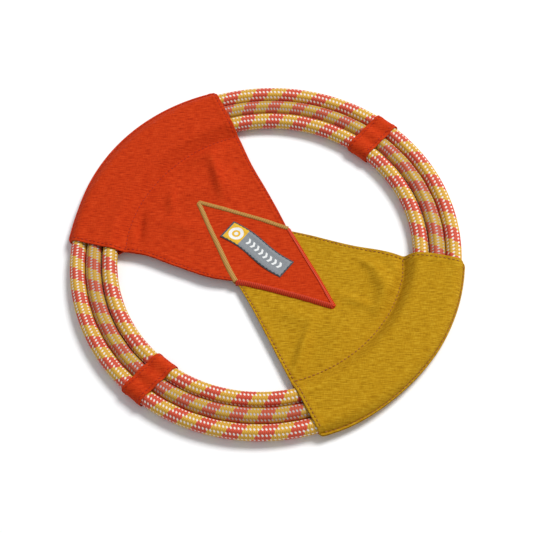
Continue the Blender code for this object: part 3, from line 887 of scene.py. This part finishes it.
def v_path(inset):
    """The middle line of a V along a tip's two edges, rounded at the point: places, sideways directions."""
    slope = WAIST_HALF_WIDTH / BEAD_REACH
    half_angle = math.atan(slope)
    apex = BEAD_REACH - inset / math.sin(half_angle)
    turn_radius = 0.8 * MM
    tangent = turn_radius / math.tan(half_angle)
    leg = apex / math.cos(half_angle) - tangent
    count = round(leg / SATIN_STEP)
    leg_x, leg_y = math.cos(half_angle), -math.sin(half_angle)
    distances = np.linspace(0, leg, count)
    start = np.array([0.0, slope * apex])
    first = start + distances[:, None] * [leg_x, leg_y]
    first_out = np.tile([-leg_y, leg_x], (count, 1))
    centre = np.array([apex - turn_radius / math.sin(half_angle), 0])
    sweep = np.linspace(np.pi / 2 - half_angle, half_angle - np.pi / 2, 26)[1:-1]
    bend_out = np.stack([np.cos(sweep), np.sin(sweep)], -1)
    bend = centre + turn_radius * bend_out
    second, second_out = first[::-1] * [1, -1], first_out[::-1] * [1, -1]
    return join([first, bend, second]), join([first_out, bend_out, second_out])


def satin_v(name, facing, levels, size, side, material, node):
    """A V of dense satin stitches over a tip's edges, as a closed tube with a ridge for each thread.

    levels are the cloth's heights outside and inside the V, over the ropes' line. size is (width, crown).
    """
    outer_level, inner_level = levels
    width, crown = size
    path, out = v_path(BEAD_INSET)
    run = join([[0], np.cumsum(np.linalg.norm(np.diff(path, axis=0), axis=1))])
    turn = np.linspace(0, np.pi, SATIN_ROUND)
    lateral = (width / 2) * np.cos(turn)
    level = outer_level + (inner_level - outer_level) * (1 - np.cos(turn)) / 2
    turns = (run[:, None] + SATIN_SLANT * lateral[None, :]) / SATIN_PITCH
    thread = np.abs(np.sin(np.pi * turns)) - 0.6
    uneven = np.array([noise.noise((r / (2.5 * MM), 0.5, 3.1)) for r in run])[:, None]
    swell = 1 + 0.10 * uneven
    sideways = lateral * swell + SATIN_RIDGE * thread * np.cos(turn)
    rise = level + (crown * swell + SATIN_RIDGE * thread) * np.sin(turn)
    lower = np.full((len(run), 1), min(outer_level, inner_level) - 0.15 * MM)
    foot = 0.3 * width + 0 * lower
    sideways = join([sideways, -foot, foot], 1)
    rise = join([rise, lower, lower], 1)
    plan = path[:, None, :] + out[:, None, :] * sideways[..., None]
    x, y = as_sewn(plan, facing, -1).transpose(2, 0, 1)
    points = np.stack([x, y, MIDDLE_HEIGHT + side * rise + rumple(x, y)], -1)
    under = np.repeat(turns[:, :1], 2, 1)
    uv = np.stack([join([turns, under], 1), sideways / width], -1)
    rows, columns = points.shape[:2]
    ends = [list(range(columns))[::-1], list(range((rows - 1) * columns, rows * columns))]
    faces = [face[::side] for face in quads(rows, columns, True).tolist() + ends]
    return ready(mesh_piece(name, points, faces, material, uv), [node])


# ------------------------------ bands


def band_profile():
    """A band's closed middle line round the three ropes, in even steps: radii, heights and its length."""
    inner, outer = ROPE_LINES["inner"] - BAND_BOW, ROPE_LINES["outer"]
    right = np.radians(np.linspace(90, -90, 24))
    span = np.linspace(outer, inner, 60)[1:-1]
    sag = BAND_SAG * np.sin(2 * np.pi * (span - inner) / (outer - inner)) ** 2
    ends = BAND_MIDDLE * np.cos(right), BAND_MIDDLE * np.sin(right)
    radii = join([outer + ends[0], span, inner - ends[0], span[::-1]])
    heights = join([ends[1], sag - BAND_MIDDLE, -ends[1], BAND_MIDDLE - sag])
    radii, heights = np.append(radii, radii[0]), np.append(heights, heights[0])
    run = join([[0], np.cumsum(np.hypot(np.diff(radii), np.diff(heights)))])
    even = np.linspace(0, run[-1], BAND_ROUND, endpoint=False)
    return np.interp(even, run, radii), np.interp(even, run, heights), run[-1]


def rope_band(name, facing, material, thread):
    """A cloth strip sewn round the three ropes, and its two rows of stitches."""
    radii, heights, length = band_profile()
    half = BAND_WIDTH / 2
    across = with_rims(half, 22)
    run = np.arange(BAND_ROUND) * length / BAND_ROUND
    grid_run, grid_across = np.meshgrid(run, across, indexing="ij")
    edge = half - np.abs(grid_across)

    def crease(cell, seed):
        """Noise that meets itself once round the band."""
        reach = length / (2 * math.pi * cell)
        around = 2 * np.pi * grid_run.ravel() / length
        places = zip(reach * np.cos(around), reach * np.sin(around), grid_across.ravel() / cell + seed)
        return np.array([noise.noise(place) for place in places]).reshape(grid_run.shape)

    tangent_r, tangent_z = (np.gradient(np.pad(each, 1, "wrap"))[1:-1] for each in (radii, heights))
    norm = np.hypot(tangent_r, tangent_z)
    out_r, out_z = -tangent_z / norm, tangent_r / norm
    lift = 0.02 * MM + 0.3 * MM * crease(6 * MM, facing) * smooth_step(edge, 0, 3 * MM)
    lift += 0.18 * MM * (1 - smooth_step(edge, 3.4 * MM, 4.2 * MM))
    lift -= HEM_GROOVE * bell(edge, HEM_INSET, 0.5 * MM)
    lift += 0.22 * MM * crease(3 * MM, facing + 9) * bell(edge, HEM_INSET, 1.8 * MM)
    lift = np.maximum(lift, 0.02 * MM)
    place_r = radii[:, None] + out_r[:, None] * lift
    place_z = MIDDLE_HEIGHT + heights[:, None] + out_z[:, None] * lift
    place_z = np.maximum(place_z, CLOTH / 2 + 0.02 * MM)
    wander = 0.35 * MM * crease(9 * MM, facing + 4) * np.sign(grid_across)
    wander *= smooth_step(np.abs(grid_across), 2 * MM, half)
    ends = ROPE_LINES["inner"] - ROPE_RADIUS, ROPE_LINES["outer"] + ROPE_RADIUS
    slip = np.interp(place_r, ends, BAND_SLIPS[name])
    middle = turned(np.stack([place_r, grid_across + wander + slip, place_z], -1), facing)
    factor = rim_factor(edge, CLOTH / 2 + 0.15 * MM, closed=True)
    c, s = math.cos(facing), math.sin(facing)
    flat = np.stack([grid_run, grid_across], -1) @ np.array([[c, s], [-s, c]])
    up, down = 0.35 * MM * factor, 0.25 * MM * factor
    piece, outer_face, _, normals = shell(f"{name}_cloth", middle, up, down, flat, material, closed=True)
    ready(piece, [name])

    for word, row in (("left", 1), ("right", -1)):
        offset = row * (half - HEM_INSET)
        column = int(np.argmin(np.abs(across - offset)))
        found = band_stitches(outer_face[:, column], normals[:, column], length)
        made = stitches(f"{name}_{word}_stitches", found, thread)
        ready(made, [f"{name}_{word}_seam"])


def band_stitches(points, normals, length):
    """Stitches along one line round a band: (middle, direction, normal) for each."""
    count = int(length / STITCH_PITCH)
    picks = np.linspace(0, len(points), count, endpoint=False).astype(int)
    found = []
    for pick in picks:
        direction = points[(pick + 1) % len(points)] - points[pick - 1]
        found.append((points[pick], direction / np.linalg.norm(direction), normals[pick]))
    return found


# ------------------------------ label


def label_sway(x):
    """How far the label is bent sideways, at a distance from its middle."""
    return 0.025 * x - 1.35 * MM - LABEL_SWAY * np.sin(2 * np.pi * (x - MM) / (44 * MM))


def label(material, thread):
    """The woven label on the red tip, and the stitches round its edge."""
    half_length, half_width = LABEL_LENGTH / 2, LABEL_WIDTH / 2
    flat_x, flat_y = np.meshgrid(with_rims(half_length, 90), with_rims(half_width, 24), indexing="ij")
    sway = label_sway(flat_x)
    x, y = LABEL_CENTRE_X + flat_x, flat_y + sway
    edge = np.minimum(half_length - np.abs(flat_x), half_width - np.abs(flat_y))
    lift = 0.25 * MM * bell(edge, 2.2 * MM, 1.2 * MM) + 0.12 * MM * np.sin(flat_x / (5 * MM))
    level = WEB_LEVELS["red_top"] * LAYER + CLOTH / 2 + LABEL_THICKNESS / 2 + 0.05 * MM
    middle = np.stack([x, y, MIDDLE_HEIGHT + level + lift + rumple(x, y)], -1)
    half = LABEL_THICKNESS / 2 * rim_factor(edge, LABEL_THICKNESS / 2)
    flat = np.stack([flat_x, flat_y], -1)
    piece, above, _, _ = shell("woven_label_patch", middle, half, half, flat, material)
    ready(piece, ["woven_label"])

    tree = surface_tree(above)
    inset = 0.75 * MM
    corners = np.array([(-1, -1), (1, -1), (1, 1), (-1, 1), (-1, -1)])
    rows = []
    for first, last in zip(corners, corners[1:]):
        side_x, side_y = np.linspace(first, last, 40).T * [[half_length - inset], [half_width - inset]]
        rows += stitch_row(tree, np.stack([LABEL_CENTRE_X + side_x, side_y + label_sway(side_x)], -1), 1)
    made = stitches("label_edge_stitches", rows, thread, 1.7 * MM, 0.17 * MM)
    ready(made, ["label_seam"])


def label_material():
    """Grey woven label with a dark edge, a yellow square with a plain ring, and a row of plain chevrons."""
    n = Nodes("label_weave_motif", 0.6, Sheen_Weight=0.15)
    x, y = n.uv()
    half_length, half_width = LABEL_LENGTH / 2, LABEL_WIDTH / 2
    size_x, size_y = n.absolute(x), n.absolute(y)
    edge = n.minimum(n.subtract(half_length, size_x), n.subtract(half_width, size_y))

    # Painted shade: the colour is darker between the weave's threads, lighter on their crowns, and varied at
    # random by the picks.
    threads = n.absolute(n.sine(n.multiply(y, math.pi / (0.3 * MM))))
    picks = n.noise(n.vector(n.multiply(x, 1500), n.multiply(y, 3300)), 1.0, 2.0)
    shade = n.remap(n.multiply_add(threads, 0.4, picks), 0.35, 1.1)

    def two_tone(dark, light):
        return n.mix(shade, srgb(*dark), srgb(*light))

    def inside(value, low, high):
        return n.multiply(n.greater_than(value, low), n.less_than(value, high))

    colour = two_tone((104, 108, 112), (146, 150, 154))
    square = inside(x, -half_length + 1.3 * MM, -half_length + 12.2 * MM)
    colour = n.mix(square, colour, two_tone((210, 154, 0), (238, 190, 14)))
    from_x = n.subtract(x, -half_length + 6.75 * MM)
    radius = n.sqrt(n.add(n.multiply(from_x, from_x), n.multiply(y, y)))
    ring = n.maximum(inside(radius, 2.5 * MM, 4.4 * MM), n.less_than(radius, 1.2 * MM))
    pale = two_tone((205, 205, 203), (250, 250, 248))
    colour = n.mix(n.multiply(square, ring), colour, pale)
    slanted = n.multiply_add(size_y, 0.55, x)
    stripe = n.less_than(n.fract(n.divide(slanted, 3.6 * MM)), 0.42)
    bars = inside(x, -half_length + 15 * MM, half_length - 3 * MM)
    bars = n.multiply(bars, n.less_than(size_y, 2 * MM))
    colour = n.mix(n.multiply(bars, stripe), colour, pale)
    colour = n.mix(n.less_than(edge, 0.85 * MM), colour, two_tone((38, 40, 46), (74, 77, 84)))
    return n.finish(colour, n.bump(threads, 0.06 * MM, 0.6))


# ------------------------------ studio


def floor():
    """A large pale disc, as the plain floor."""
    made = bmesh.new()
    bmesh.ops.create_circle(made, cap_ends=True, segments=96, radius=4.0)
    mesh = bpy.data.meshes.new("floor")
    made.to_mesh(mesh)
    made.free()
    disc = bpy.data.objects.new("floor", mesh)
    bpy.context.scene.collection.objects.link(disc)
    n = Nodes("floor_paper", 0.9)
    mesh.materials.append(n.finish(n.mix(n.noise(n.place(), 30), srgb(252, 252, 252), srgb(254, 254, 254))))


def studio():
    """Plain soft light: a large key high behind the ring, and an even white surround."""
    floor()
    world = bpy.data.worlds.new("surround")
    world.use_nodes = True
    world.node_tree.nodes["Background"].inputs["Color"].default_value = SURROUND_COLOUR
    world.node_tree.nodes["Background"].inputs["Strength"].default_value = SURROUND_STRENGTH
    bpy.context.scene.world = world
    data = bpy.data.lights.new("key", "AREA")
    data.shape = "DISK"
    data.size = KEY_SIZE
    data.energy = KEY_POWER
    light = bpy.data.objects.new("key", data)
    light.location = KEY_PLACE
    light.rotation_mode = "QUATERNION"
    light.rotation_quaternion = (-Vector(KEY_PLACE)).to_track_quat("-Z", "Y")
    bpy.context.scene.collection.objects.link(light)
    bpy.context.scene.view_settings.view_transform = "Standard"


def camera():
    azimuth, elevation = CAMERA_AZIMUTH, CAMERA_ELEVATION
    level = math.cos(elevation)
    back = Vector((math.sin(azimuth) * level, -math.cos(azimuth) * level, math.sin(elevation)))
    data = bpy.data.cameras.new("camera")
    data.lens = CAMERA_LENS
    data.sensor_width = CAMERA_SENSOR
    data.clip_start, data.clip_end = 0.05, 20
    made = bpy.data.objects.new("camera", data)
    made.rotation_mode = "QUATERNION"
    made.location = CAMERA_TARGET + back * CAMERA_DISTANCE
    roll = Quaternion((0, 0, 1), CAMERA_ROLL)
    made.rotation_quaternion = (-back).to_track_quat("-Z", "Y") @ roll
    bpy.context.scene.collection.objects.link(made)
    bpy.context.scene.camera = made


# ------------------------------ main


def build_ropes():
    yellows, dull_yellows = (srgb(190, 136, 32), srgb(238, 188, 76)), (srgb(174, 127, 32), srgb(219, 177, 76))
    reds, dull_reds = (srgb(190, 58, 36), srgb(228, 98, 70)), (srgb(174, 61, 38), srgb(210, 103, 73))
    white = rope_material("braid_white_fleck", srgb(246, 238, 230), yellows, reds)
    grey = rope_material("braid_grey_fleck", srgb(196, 190, 190), dull_yellows, dull_reds)
    whites = srgb(196, 190, 176), srgb(240, 237, 228)
    filling = plain_material("rope_filling", 0.7, 1400, (0.2 * MM, 0.5), *whites)
    tape = plain_material("splice_tape", 0.4, 500, (0.1 * MM, 0.4), srgb(20, 20, 22), srgb(52, 52, 55))
    for name in ROPE_LINES:
        braided_rope(name, grey if name == "middle" else white)
        for node, material in ((f"{name}_rope_core", filling), (f"{name}_rope_splice", tape)):
            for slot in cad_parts[node].material_slots:
                slot.material = material


def build_cloths():
    red_cloth = cloth_material("red_cloth_weave", srgb(169, 38, 5), srgb(201, 56, 12), srgb(217, 72, 26))
    mustard = srgb(156, 109, 4), srgb(189, 140, 16), srgb(211, 166, 38)
    cloths = {"red": red_cloth, "mustard": cloth_material("mustard_cloth_weave", *mustard)}
    red_thread = thread_material("red_sewing_thread", srgb(140, 24, 8), srgb(190, 46, 20))
    brown_thread = thread_material("brown_sewing_thread", srgb(128, 74, 22), srgb(184, 122, 52))
    threads = {"red": red_thread, "mustard": brown_thread}
    for colour in ("red", "mustard"):
        above = panel_cloth(colour, "top", cloths[colour])
        below = panel_cloth(colour, "bottom", cloths[colour])
        panel_seams(colour, above, below, threads[colour])
    rope_band("rear_band", math.pi / 2, red_cloth, red_thread)
    rope_band("front_band", -math.pi / 2, red_cloth, red_thread)


def build_tips():
    # Each satin's dark colour is its painted shade between the stitches, and its light colour is their crowns.
    red = thread_material("red_satin_thread", srgb(128, 16, 4), srgb(222, 66, 28), satin=True)
    tan = thread_material("tan_satin_thread", srgb(104, 60, 12), srgb(206, 154, 76), satin=True)
    on_mustard = WEB_LEVELS["mustard_top"] * LAYER + CLOTH / 2
    on_red = WEB_LEVELS["red_top"] * LAYER + CLOTH / 2
    raised, flat = (2.6 * MM, 1.15 * MM), (2.6 * MM, 0.85 * MM)
    step, level = (on_mustard, on_red), (on_red, on_red)
    satin_v("red_tip_bead", 0.0, step, raised, 1, red, "red_tip_satin")
    satin_v("tan_v_on_red", math.pi, level, flat, 1, tan, "mustard_tip_back_stitch")
    satin_v("mustard_tip_bead", math.pi, step, raised, -1, tan, "mustard_tip_satin")
    satin_v("red_v_underneath", 0.0, level, flat, -1, red, "red_tip_back_stitch")
    label(label_material(), thread_material("label_edge_thread", srgb(30, 32, 38), srgb(70, 73, 80)))


camera()
studio()
build_ropes()
build_cloths()
build_tips()
